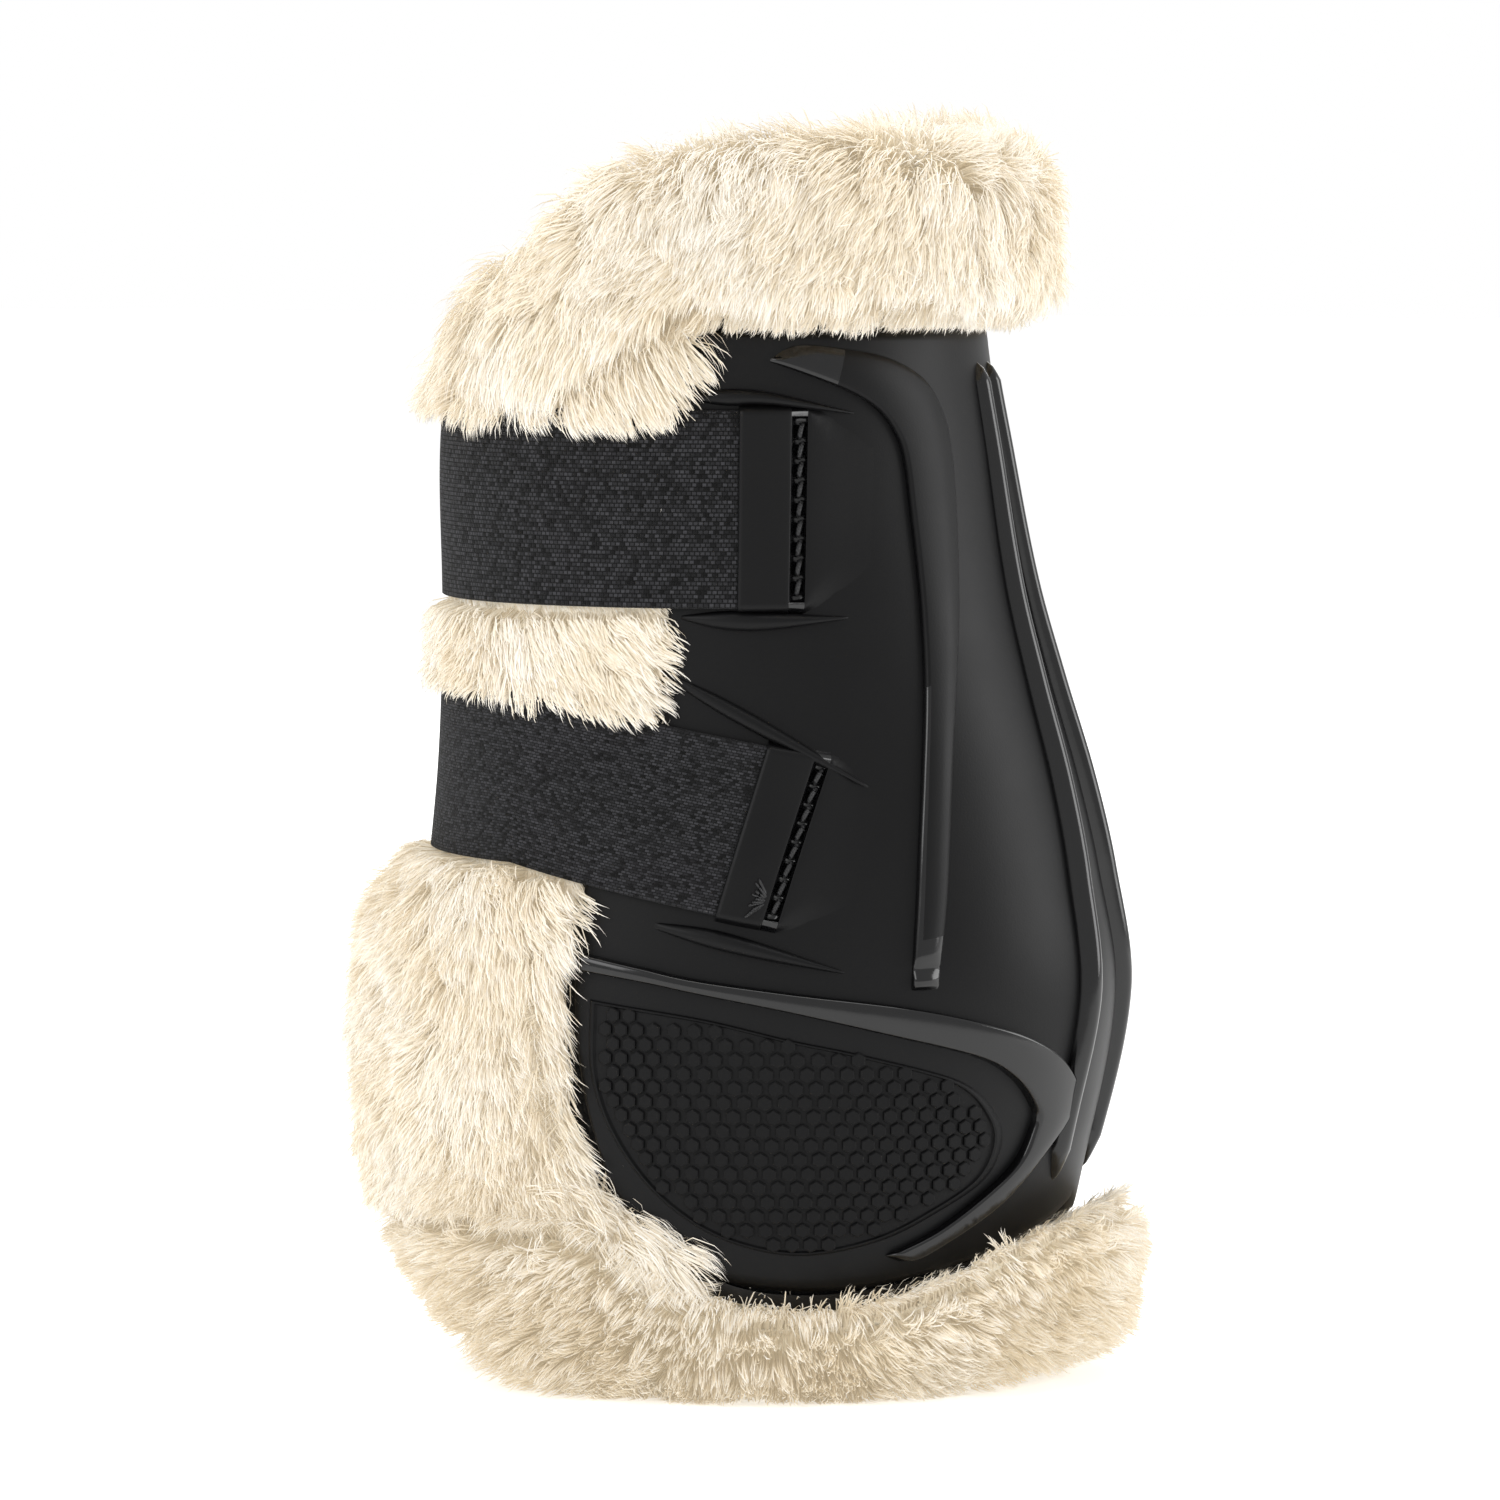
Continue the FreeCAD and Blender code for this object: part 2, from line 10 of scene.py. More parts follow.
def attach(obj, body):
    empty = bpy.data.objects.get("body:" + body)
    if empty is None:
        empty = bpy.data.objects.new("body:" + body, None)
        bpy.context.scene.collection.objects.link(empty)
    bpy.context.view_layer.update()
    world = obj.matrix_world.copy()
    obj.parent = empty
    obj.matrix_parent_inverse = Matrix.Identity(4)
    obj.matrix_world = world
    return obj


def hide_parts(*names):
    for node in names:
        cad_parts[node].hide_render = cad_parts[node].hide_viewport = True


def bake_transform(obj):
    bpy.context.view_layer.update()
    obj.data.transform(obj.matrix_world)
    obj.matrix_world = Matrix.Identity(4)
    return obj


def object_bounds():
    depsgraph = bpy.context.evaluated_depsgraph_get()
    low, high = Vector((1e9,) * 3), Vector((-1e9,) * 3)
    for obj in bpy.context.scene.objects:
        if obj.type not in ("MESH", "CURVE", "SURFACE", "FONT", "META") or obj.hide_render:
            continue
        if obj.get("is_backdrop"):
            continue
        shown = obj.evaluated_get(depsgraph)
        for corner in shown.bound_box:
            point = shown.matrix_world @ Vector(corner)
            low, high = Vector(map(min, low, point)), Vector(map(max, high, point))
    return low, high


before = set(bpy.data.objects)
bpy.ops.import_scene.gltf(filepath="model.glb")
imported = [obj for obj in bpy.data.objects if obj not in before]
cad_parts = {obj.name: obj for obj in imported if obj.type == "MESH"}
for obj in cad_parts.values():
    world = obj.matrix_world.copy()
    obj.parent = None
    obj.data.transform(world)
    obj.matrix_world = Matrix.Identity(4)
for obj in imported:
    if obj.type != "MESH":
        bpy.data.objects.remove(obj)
cad_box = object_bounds()
MM = 0.001

# ---- Studio ----
# A plain pale floor, a pale room around it, four soft boxes and a long lens on the anchor side.


def linear(code):
    """An sRGB colour written as hex, as linear red, green, blue and a full alpha."""
    parts = [int(code[i:i + 2], 16) / 255 for i in (1, 3, 5)]
    return [c / 12.92 if c <= 0.04045 else ((c + 0.055) / 1.055) ** 2.4 for c in parts] + [1.0]


def add(tree, kind, feeds=None, **settings):
    """Adds one shader node, sets its properties or input values by name, and links what feeds it."""
    made = tree.nodes.new("ShaderNode" + kind)
    for name, value in settings.items():
        if hasattr(made, name):
            setattr(made, name, value)
        else:
            made.inputs[name.replace("_", " ")].default_value = value
    for socket, source in (feeds or {}).items():
        tree.links.new(source, made.inputs[socket])
    return made


def finish(name, colour, roughness, **settings):
    """A new material with a Principled surface; returns the material, its node tree and that surface."""
    material = bpy.data.materials.new(name)
    material.use_nodes = True
    tree = material.node_tree
    surface = tree.nodes["Principled BSDF"]
    surface.inputs["Base Color"].default_value = linear(colour)
    surface.inputs["Roughness"].default_value = roughness
    for socket, value in settings.items():
        surface.inputs[socket.replace("_", " ")].default_value = value
    return material, tree, surface


def uneven(tree, surface, pattern, low, high):
    """Moves the surface's roughness between two values with a pattern."""
    span = add(tree, "MapRange", {"Value": pattern}, To_Min=low, To_Max=high)
    tree.links.new(span.outputs["Result"], surface.inputs["Roughness"])


def embossed(tree, surface, pattern, **settings):
    """Raises a pattern on the surface; Distance is in metres."""
    relief = add(tree, "Bump", {"Height": pattern}, **settings)
    tree.links.new(relief.outputs["Normal"], surface.inputs["Normal"])


def tinted(tree, surface, pattern, one, two):
    """Colours the surface from one colour to the other with a pattern."""
    mixed = add(tree, "MixRGB", {"Fac": pattern}, Color1=linear(one), Color2=linear(two))
    tree.links.new(mixed.outputs["Color"], surface.inputs["Base Color"])


def piece(name, bm, *materials):
    """An object from a bmesh, with smooth faces and these materials."""
    mesh = bpy.data.meshes.new(name)
    bm.to_mesh(mesh)
    bm.free()
    mesh.shade_smooth()
    for material in materials:
        mesh.materials.append(material)
    made = bpy.data.objects.new(name, mesh)
    bpy.context.scene.collection.objects.link(made)
    return made


floor_paint, tree, surface = finish("lit_floor_paint", "#f4f4f3", 0.9, Emission_Strength=0.4)
surface.inputs["Emission Color"].default_value = linear("#ffffff")
speckle = add(tree, "TexNoise", Scale=30.0, Detail=3.0)
tint = add(tree, "MapRange", {"Value": speckle.outputs["Fac"]}, To_Min=0.88, To_Max=0.92)
tree.links.new(tint.outputs["Result"], surface.inputs["Roughness"])
bm = bmesh.new()
bmesh.ops.create_grid(bm, x_segments=1, y_segments=1, size=6.0)
floor = piece("floor", bm, floor_paint)
floor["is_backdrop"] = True

world = bpy.data.worlds.new("pale_room")
world.use_nodes = True
bpy.context.scene.world = world
tree = world.node_tree
seen = add(tree, "LightPath")
room = tree.nodes["Background"]
level = add(tree, "MapRange", {"Value": seen.outputs["Is Camera Ray"]}, To_Min=0.7, To_Max=1.0)
tree.links.new(level.outputs["Result"], room.inputs["Strength"])
room.inputs["Color"].default_value = linear("#ffffff")

VIEW_TURN = math.radians(15.0)
VIEW_LIFT = math.radians(4.0)
VIEW_FAR = 1.6
aim = Vector((2.4, 0.0, 97.6)) * MM


def facing(obj, place, target):
    """Puts a lamp or camera in place, turned to look at the target."""
    obj.location = place
    obj.rotation_euler = (target - place).to_track_quat("-Z", "Y").to_euler()
    bpy.context.scene.collection.objects.link(obj)


lens = bpy.data.cameras.new("long_lens")
lens.lens = 36.0 / (0.237 / VIEW_FAR)
lens.clip_start = 0.01
camera = bpy.data.objects.new("camera", lens)
away = Vector((math.sin(VIEW_TURN) * math.cos(VIEW_LIFT), -math.cos(VIEW_TURN) * math.cos(VIEW_LIFT),
               math.sin(VIEW_LIFT)))
facing(camera, aim + VIEW_FAR * away, aim)
bpy.context.scene.camera = camera
soft_boxes = (  # name, place in metres, size and power
    ("key_box", (-0.9, -1.1, 0.9), 0.9, 7.8), ("side_box", (1.3, 0.35, 0.45), 0.7, 6.5),
    ("top_box", (0.1, 0.1, 1.4), 0.9, 6.0), ("back_box", (-0.3, 1.4, 0.7), 0.9, 7.0),
)
for name, place, size, power in soft_boxes:
    lamp = bpy.data.lights.new(name, "AREA")
    lamp.size = size
    lamp.energy = power
    facing(bpy.data.objects.new(name, lamp), Vector(place), aim)
bpy.context.scene.view_settings.view_transform = "Standard"

# ---- Moulded shell ----
# One moulding of black thermoplastic polyurethane with ribs, a bead each side of the tendons and lids
# over the strap ports. Its faces are spark-eroded satin and its raised mouldings are polished.
OUTSIDE = (  # height, then how far the outside is from the leg's axis at the back, the sides and the front
    (-6.0, 48.0, 42.5, 44.0), (10.0, 50.0, 44.0, 46.0), (30.0, 55.0, 46.0, 48.0), (60.0, 60.8, 47.0, 49.0),
    (80.0, 58.0, 45.5, 47.0), (95.0, 54.5, 43.5, 45.5), (110.0, 50.0, 42.0, 45.0), (125.0, 46.0, 41.0, 45.0),
    (145.0, 42.5, 40.3, 45.3), (165.0, 39.5, 40.0, 44.0), (185.0, 39.0, 40.0, 43.0),
)
SHELL_THICK = 2.2
SHELL_FRONT = ((6.6, 164.6), (3.5, 163.0), (1.0, 155.0), (0.0, 135.0), (0.0, 120.0), (-2.0, 105.0),
               (-7.0, 93.0),
               (-12.0, 82.0), (-14.0, 65.0), (-12.5, 48.0), (-8.0, 33.0))
SHELL_FOOT = ((-8.0, 33.0), (0.0, 23.5), (12.0, 18.0), (28.0, 17.0), (43.0, 20.5), (54.4, 27.4))
SHELL_TOP = 164.6


def steady(rows, at):
    """The values of a table at one height, on a smooth curve through its rows."""
    low = max(i for i in range(len(rows) - 1) if i == 0 or rows[i][0] <= at)
    a, b = rows[low], rows[low + 1]
    before = rows[low - 1] if low else a
    after = rows[low + 2] if low + 2 < len(rows) else b
    span = b[0] - a[0]
    s = min(1.0, max(0.0, (at - a[0]) / span))
    found = []
    for k in range(1, len(a)):
        slope_a = (b[k] - before[k]) / (b[0] - before[0]) * span
        slope_b = (after[k] - a[k]) / (after[0] - a[0]) * span
        found.append((2 * s ** 3 - 3 * s * s + 1) * a[k] + (s ** 3 - 2 * s * s + s) * slope_a
                     + (3 * s * s - 2 * s ** 3) * b[k] + (s ** 3 - s * s) * slope_b)
    return found


def on_boot(angle, height, out):
    """A point at an angle from the back and a height, this far out from the shell's face."""
    back, side, front = steady(OUTSIDE, height)
    reach = back if math.cos(angle) > 0 else front
    return Vector(((reach + out) * math.cos(angle), (side + out) * math.sin(angle), height)) * MM


def turn_to(x, height, out=0.0):
    """The angle from the back at which the boot's face is at x."""
    back, _, front = steady(OUTSIDE, height)
    return math.acos(max(-1.0, min(1.0, x / ((back if x > 0 else front) + out))))


def drawn(points, count):
    """count + 1 points evenly along a smooth curve through these."""
    p = np.array(points, float)
    p = np.vstack([2 * p[0] - p[1], p, 2 * p[-1] - p[-2]])
    s = np.linspace(0, 1, 24, endpoint=False)[:, None]
    fine = [0.5 * (2 * b + (c - a) * s + (2 * a - 5 * b + 4 * c - d) * s * s
                   + (3 * b - a - 3 * c + d) * s ** 3)
            for a, b, c, d in zip(p, p[1:], p[2:], p[3:])]
    fine = np.vstack(fine + [p[-2:-1]])
    run = np.concatenate([[0], np.cumsum(np.linalg.norm(np.diff(fine, axis=0), axis=1))])
    even = np.linspace(0, run[-1], count + 1)
    return np.column_stack([np.interp(even, run, fine[:, k]) for k in range(p.shape[1])])


def rows_of(bm, along, across, place, side=-1, wrap=False, gloss=None):
    """A grid of faces added to bm, each corner put by place(i, j); turned to face outwards."""
    made = bmesh.ops.create_grid(bm, x_segments=along, y_segments=across, size=1.0)["verts"]
    faces = {face for vert in made for face in vert.link_faces}
    marks = {}
    for vert in made:
        marks[vert] = (round((vert.co.x + 1) / 2 * along), round((vert.co.y + 1) / 2 * across))
    for vert, (i, j) in marks.items():
        vert.co = place(i, j)
        if side > 0:
            vert.co.y = -vert.co.y
    for face in faces:
        face.smooth = True
        if gloss:
            spots = [marks[vert] for vert in face.verts]
            face.material_index = gloss(min(i for i, j in spots), min(j for i, j in spots))
    bm.normal_update()
    lean = sum(face.normal.dot(Vector((face.calc_center_median().x, face.calc_center_median().y,
                                       0)).normalized())
               * face.calc_area() for face in faces)
    if not wrap and lean < 0:
        bmesh.ops.reverse_faces(bm, faces=list(faces))
    return marks


def shell_side(side):
    """One half of the shell's face, from the line down the back to its front edge."""
    bm = bmesh.new()
    columns, rows = 104, 128
    front = [(turn_to(x, z), z) for x, z in drawn(SHELL_FRONT[::-1], rows)]
    foot = [(turn_to(x, z), z) for x, z in drawn(SHELL_FOOT, columns)]
    foot = [(a * (1 - (k / columns) ** 12), z) for k, (a, z) in enumerate(foot)]
    end = foot[-1][1]

    def place(i, j):
        s = i / columns
        t = j / rows
        s = s * (1 - 0.7 * math.exp(-s / 0.014))
        t = t - 0.006 * math.sin(2 * math.pi * t)
        fi = min(rows - 1, int(t * rows))
        fa = front[fi][0] + (front[fi + 1][0] - front[fi][0]) * (t * rows - fi)
        fz = front[fi][1] + (front[fi + 1][1] - front[fi][1]) * (t * rows - fi)
        ci = min(columns - 1, int(s * columns))
        ca = foot[ci][0] + (foot[ci + 1][0] - foot[ci][0]) * (s * columns - ci)
        cz = foot[ci][1] + (foot[ci + 1][1] - foot[ci][1]) * (s * columns - ci)
        top_a = front[-1][0] * (1 - s)
        back_z = end + (SHELL_TOP - end) * t
        angle = (1 - s) * fa + (1 - t) * ca + t * top_a - (1 - s) * ((1 - t) * foot[0][0] + t * front[-1][0])
        height = ((1 - s) * fz + s * back_z + (1 - t) * cz + t * SHELL_TOP
                  - (1 - s) * ((1 - t) * foot[0][1] + t * SHELL_TOP) - s * ((1 - t) * end + t * SHELL_TOP))
        near = min(s * 105, t * 130, (1 - t) * 130)
        return on_boot(-angle, height, -0.8 * max(0.0, 1 - near / 1.3) ** 2)

    rows_of(bm, columns, rows, place, side)
    return bm


def moulding(bm, left, right, profile, count, rise, side=-1, gloss=None):
    """A raised strip between two XZ lines. profile: from which edge, how far in and its share of the rise."""
    left = drawn(left, count)
    right = drawn(right, count)

    def place(i, j):
        edge, inset, share = profile[j]
        (xl, zl), (xr, zr) = left[i], right[i]
        al = turn_to(xl, zl)
        ar = turn_to(xr, zr)
        wide = math.hypot((al - ar) * 45, zl - zr) + 1e-6
        across = min(0.48, inset / wide) if edge == "L" else 1 - min(0.48, inset / wide)
        if edge == "C":
            across = inset
        height = zl + (zr - zl) * across
        return on_boot(-(al + (ar - al) * across), height, -0.3 + (rise(i / count) + 0.3) * share)

    rows_of(bm, count, len(profile) - 1, place, side, gloss=gloss)


RIB_LEFT = ((15.2, 160.2), (21.0, 157.9), (26.5, 155.3), (30.2, 152.3), (32.4, 148.5), (33.5, 144.5),
            (34.5, 137.0),
            (36.6, 120.0), (37.7, 105.5), (38.1, 82.0), (37.9, 63.4))
RIB_RIGHT = ((15.3, 161.0), (19.5, 162.9), (26.0, 162.2), (31.5, 160.6), (35.6, 157.2), (37.8, 152.0),
             (39.0, 146.0),
             (40.0, 137.0), (41.3, 120.0), (41.9, 105.5), (42.6, 80.0), (41.9, 63.4))
CRESCENT_OUT = ((-11.5, 69.0), (-2.0, 67.2), (5.8, 65.6), (20.0, 63.6), (37.5, 61.0), (49.3, 57.4),
                (55.0, 53.4),
                (57.1, 48.3), (56.7, 44.7), (54.8, 39.8), (48.0, 29.5), (38.9, 22.3), (35.2, 21.2))
CRESCENT_IN = ((-11.5, 66.2), (-2.0, 64.8), (5.8, 63.3), (20.0, 60.5), (34.8, 56.7), (45.8, 53.1),
               (50.4, 49.5),
               (52.6, 44.7), (52.4, 41.1), (49.2, 34.4), (40.8, 26.5), (33.2, 22.2))
ROUND_EDGES = (("L", 0.0, 0.0), ("L", 0.05, 0.55), ("L", 0.18, 0.82), ("L", 0.42, 0.96), ("L", 0.8, 1.0),
               ("C", 0.5, 1.03), ("R", 0.8, 1.0), ("R", 0.42, 0.96), ("R", 0.18, 0.82), ("R", 0.05, 0.55),
               ("R", 0.0, 0.0))
SOFT_RIGHT = ROUND_EDGES[:5] + (("C", 0.5, 0.9), ("R", 1.4, 0.7), ("R", 0.7, 0.5), ("R", 0.3, 0.25),
                                ("R", 0.0, 0.0))
BEAD_ROUND = tuple(("C", 0.5 - 0.5 * math.cos(math.pi * k / 10), math.sin(math.pi * k / 10) ** 0.7)
                   for k in range(11))
BEAD_ROWS = ((159.5, 3.2, 1.7), (140.0, 4.0, 2.1), (112.0, 6.0, 2.6), (82.0, 8.5, 2.8), (60.0, 10.5, 2.6),
             (45.0, 11.5, 2.3), (31.5, 10.0, 1.6))     # height, distance from the middle, how proud
LIDS = (  # the ridges above and below each strap port: outer line, inner line, how proud
    (((3.0, 155.0), (9.0, 156.0), (16.0, 155.4), (27.5, 152.2)),
     ((3.0, 154.3), (9.0, 153.4), (16.0, 153.4), (27.5, 151.9)), 1.9),
    (((2.0, 120.6), (9.0, 119.0), (16.0, 118.9), (27.5, 120.6)),
     ((2.0, 121.1), (9.0, 121.9), (16.0, 121.7), (27.5, 120.9)), 1.9),
    (((1.0, 112.2), (10.0, 108.2), (20.0, 102.4), (31.5, 94.6)),
     ((1.0, 111.0), (9.0, 106.0), (19.0, 100.6), (31.2, 94.3)), 1.8),
    (((-1.0, 73.2), (8.0, 70.4), (16.0, 68.6), (29.0, 66.2)),
     ((-1.0, 74.2), (8.0, 73.3), (16.0, 71.2), (29.0, 66.6)), 1.8),
)


def rib_rise(s):
    """Up from the arm's tip, level down the rib, a dimple and then its rounded end."""
    start = min(1.0, s / 0.03)
    stop = min(1.0, (1 - s) / 0.012)
    dimple = 0.5 * math.exp(-((s - 0.968) / 0.008) ** 2)
    return -0.3 + 1.6 * math.sqrt(start) * math.sqrt(stop) * (1 - dimple)


def side_mouldings(bm, side):
    """The rib, the crescent over the strike pad and the tendon bead of one side."""
    moulding(bm, RIB_LEFT, RIB_RIGHT, SOFT_RIGHT, 150, rib_rise, side,
             lambda i, j: 1 if i < 14 or i > 138 or j < (4 if i > 84 else 1) else 0)
    moulding(bm, CRESCENT_OUT, CRESCENT_IN, ROUND_EDGES, 170,
             lambda s: -0.3 + 2.1 * min(1.0, (1 - s) / 0.012) ** 0.5, side, lambda i, j: 1)
    beads = drawn(BEAD_ROWS, 120)

    def place(i, j):
        height, across, proud = beads[i]
        _, turn, share = BEAD_ROUND[j]
        back, wide, _ = steady(OUTSIDE, height)
        ends = min(1.0, i / 3, (120 - i) / 5) ** 0.5
        middle = math.asin(across / wide)
        angle = middle + math.radians(2.3) * (1 - 2 * turn) * ends
        return on_boot(-angle, height, -0.3 + (proud + 0.3) * share * ends)

    rows_of(bm, 120, 10, place, side, gloss=lambda i, j: 1)


LOWER_PORT = ((9.5, 75.5), (16.5, 101.0))


def upper_port(shift, t):
    """X and Z beside the upper port, shift mm behind its mouth and t of the way up."""
    return 11.5 + shift, 122.5 + 30.0 * t


def lower_port(shift, t):
    """X and Z beside the lower port, which leans with its strap."""
    (foot_x, foot_z), (top_x, top_z) = LOWER_PORT
    return foot_x + (top_x - foot_x) * t + shift, foot_z + (top_z - foot_z) * t - 0.2055 * shift


def port_tab(bm, at, groove, tall):
    """The shell over a strap's sewn end: lifted off the strap at the port, with a groove for the stitches."""
    low, high = groove
    columns = [(-0.15, 0.0), (-0.1, 1.0), (0.0, 1.75), (0.25, 2.05), (0.8, 2.15), (2.5, 2.1), (4.5, 1.9),
               (low - 0.5, 1.45), (low - 0.12, 1.35), (low, 1.25), (low + 0.02, None), (high - 0.02, None),
               (high, 1.05),
               (high + 0.12, 1.1), (high + 0.6, 1.07), (high + 1.5, 0.95), (high + 2.7, 0.72),
               (high + 4, 0.46), (high + 5.5, 0.22),
               (high + 7, 0.07), (high + 8.5, 0.01), (high + 10, -0.04)]
    cut = 0.7 / tall
    rows = [-0.05, -0.03, -0.01, 0.005, cut - 0.004, cut,
            cut + 0.001] + [0.05 + 0.9 * k / 24 for k in range(25)]
    rows += [1 - cut - 0.001, 1 - cut, 1 - cut + 0.004, 0.995, 1.01, 1.03, 1.05]

    def place(i, j):
        shift, out = columns[i]
        t = rows[j]
        if out is None:
            out = 0.12 if cut < t < 1 - cut else 1.15
        ease = 0.05 + 0.22 * min(1.0, max(0.0, (shift - high) / 4))
        fade = min(1.0, max(0.0, (0.55 - abs(t - 0.5)) / ease))
        fade = fade * fade * (3 - 2 * fade)
        x, z = at(shift, t)
        return on_boot(-turn_to(x, z, out), z, -0.3 + (out + 0.3) * fade)

    rows_of(bm, len(columns) - 1, len(rows) - 1, place, gloss=lambda i, j: 1 if i in (9, 10, 11) else 0)


satin, tree, surface = finish("spark_eroded_polyurethane", "#0a0a0b", 0.42, IOR=1.5, Specular_IOR_Level=0.19)
grain = add(tree, "TexNoise", {"Vector": add(tree, "TexCoord").outputs["Object"]}, Scale=3200.0, Detail=2.0)
cloud = add(tree, "TexNoise", {"Vector": add(tree, "TexCoord").outputs["Object"]}, Scale=60.0, Detail=4.0)
uneven(tree, surface, cloud.outputs["Fac"], 0.36, 0.5)
embossed(tree, surface, grain.outputs["Fac"], Strength=0.25, Distance=0.00006)
tinted(tree, surface, cloud.outputs["Fac"], "#080809", "#0d0d0e")

polished, tree, surface = finish("polished_polyurethane", "#080809", 0.12, IOR=1.52, Specular_IOR_Level=0.5)
cloud = add(tree, "TexNoise", {"Vector": add(tree, "TexCoord").outputs["Object"]}, Scale=90.0, Detail=5.0)
uneven(tree, surface, cloud.outputs["Fac"], 0.09, 0.2)
embossed(tree, surface, cloud.outputs["Fac"], Strength=0.12, Distance=0.0006)

bm = shell_side(-1)
half = bpy.data.meshes.new("half")
other = shell_side(1)
other.to_mesh(half)
other.free()
bm.from_mesh(half)
bmesh.ops.remove_doubles(bm, verts=bm.verts, dist=1e-5)
sheet = bm.faces[:]
bmesh.ops.recalc_face_normals(bm, faces=sheet)
bm.normal_update()
if sum(f.normal.dot(Vector((f.calc_center_median().x, f.calc_center_median().y, 0))) for f in sheet) < 0:
    bmesh.ops.reverse_faces(bm, faces=sheet)
bmesh.ops.solidify(bm, geom=sheet, thickness=SHELL_THICK * MM)
side_mouldings(bm, -1)
side_mouldings(bm, 1)
for outer, inner, proud in LIDS:
    moulding(bm, outer, inner, BEAD_ROUND, 40,
             lambda s, proud=proud: -0.3 + (proud + 0.3) * math.sin(math.pi * min(1.0, max(0.0, s))) ** 0.6)
port_tab(bm, upper_port, (7.5, 9.7), 30.0)
port_tab(bm, lower_port, (7.0, 9.2), 26.4)
shell = piece("moulded_shell", bm, satin, polished)
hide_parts("shell")
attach(shell, "boot")

# ---- Strike pads ----
# Two softer rubber pads bonded low on the sides, each with a raised border and rows of hexagonal studs.
PAD_EDGE = ((-11.0, 62.0), (7.0, 59.5), (20.7, 56.3), (30.0, 54.2), (40.1, 51.2), (45.3, 48.7), (48.2, 45.0),
            (49.4, 39.8),
            (46.9, 33.4), (40.0, 28.2), (33.0, 24.6), (24.0, 22.6), (16.0, 23.2), (7.0, 26.5), (-1.5, 33.0),
            (-8.0, 42.0),
            (-11.0, 51.0), (-11.0, 62.0))
PAD_MIDDLE = (20.0, 42.0)
STUD_PITCH = 2.55
STUD_WIDE = 1.22

rubber, tree, surface = finish("moulded_rubber", "#080809", 0.5, IOR=1.5, Specular_IOR_Level=0.2)
grain = add(tree, "TexNoise", {"Vector": add(tree, "TexCoord").outputs["Object"]}, Scale=2200.0, Detail=3.0)
uneven(tree, surface, grain.outputs["Fac"], 0.48, 0.66)
embossed(tree, surface, grain.outputs["Fac"], Strength=0.3, Distance=0.00008)


def strike_pad(side):
    """One pad and its studs, which stop short of the raised border."""
    bm = bmesh.new()
    edge = drawn(PAD_EDGE, 150)
    rings = tuple((0.05 * k, 0.12) for k in range(19))    # share of the way to the edge, and height
    rings += ((0.93, 0.12), (0.955, 0.12), (0.963, 0.3), (0.97, 0.5), (0.98, 0.55), (0.988, 0.45),
              (0.994, 0.2),
              (1.0, -0.4))

    def place(i, j):
        share, out = rings[j]
        x = PAD_MIDDLE[0] + (edge[i][0] - PAD_MIDDLE[0]) * share
        z = PAD_MIDDLE[1] + (edge[i][1] - PAD_MIDDLE[1]) * share
        return on_boot(-turn_to(x, z, out), z, out)

    rows_of(bm, 150, len(rings) - 1, place, side)
    bmesh.ops.remove_doubles(bm, verts=bm.verts, dist=2e-6)
    inner = [Vector((PAD_MIDDLE[0] + (x - PAD_MIDDLE[0]) * 0.93, PAD_MIDDLE[1] + (z - PAD_MIDDLE[1]) * 0.93))
             for x, z in edge]
    for row in range(-10, 11):
        z = PAD_MIDDLE[1] + row * STUD_PITCH * 0.866
        start = turn_to(-12.0, z)
        for step in range(48):
            angle = start - (step + 0.5 * (row % 2)) * STUD_PITCH / 47.5
            if angle < 0.3:
                break
            x = on_boot(-angle, z, 0).x / MM
            crossings = sum((a.y > z) != (b.y > z) and x < a.x + (z - a.y) * (b.x - a.x) / (b.y - a.y)
                            for a, b in zip(inner, inner[1:]))
            if not crossings % 2:
                continue
            foot = on_boot(-angle, z, 0.0)
            up = (on_boot(-angle, z, 1.0) - foot).normalized()
            along = (on_boot(-angle + 0.01, z, 0.0) - foot).normalized()
            rest = up.cross(along)
            if side > 0:
                foot.y, up.y, along.y, rest.y = -foot.y, -up.y, -along.y, -rest.y
            stud = bmesh.ops.create_circle(bm, cap_ends=True, segments=6, radius=STUD_WIDE * MM)["verts"]
            top = list({face for vert in stud for face in vert.link_faces})
            grown = bmesh.ops.extrude_face_region(bm, geom=top)
            lid = [g for g in grown["geom"] if isinstance(g, bmesh.types.BMFace)]
            lifted = [g for g in grown["geom"] if isinstance(g, bmesh.types.BMVert)]
            bmesh.ops.delete(bm, geom=top, context="FACES_ONLY")
            for vert in lifted:
                vert.co.z = 0.42 * MM
            inset = bmesh.ops.inset_individual(bm, faces=lid, thickness=0.22 * MM, depth=0.14 * MM)["faces"]
            whole = set(stud) | set(lifted) | {vert for face in inset + lid for vert in face.verts}
            for vert in whole:
                local = vert.co.copy()
                vert.co = foot + along * local.x + rest * local.y + up * (local.z + 0.1 * MM)
    pad = piece("strike_pad_" + ("anchor" if side < 0 else "closure"), bm, rubber)
    for face in pad.data.polygons:
        face.use_smooth = face.area > 3e-6
    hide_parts("strike_pad_anchor_side" if side < 0 else "strike_pad_closure_side")
    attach(pad, "boot")


for side in (-1, 1):
    strike_pad(side)

# ---- Elastic straps ----
# Two 30 mm bands of woven elastic. Each comes out of a port, crosses the open front and lies back over
# its hook patch on the closure side. A band bends at the front where the real one peels open.
ELASTIC_THICK = 1.4
STRAP_IN = 0.3
END_RISE = 2.3
WRAP = math.radians(80.0)


def steps(points, x):
    """A height read off straight lines between (x, z) points."""
    return float(np.interp(x, [p[0] for p in points], [p[1] for p in points]))


def upper_line(x, t):
    return 122.5 + 30.0 * t


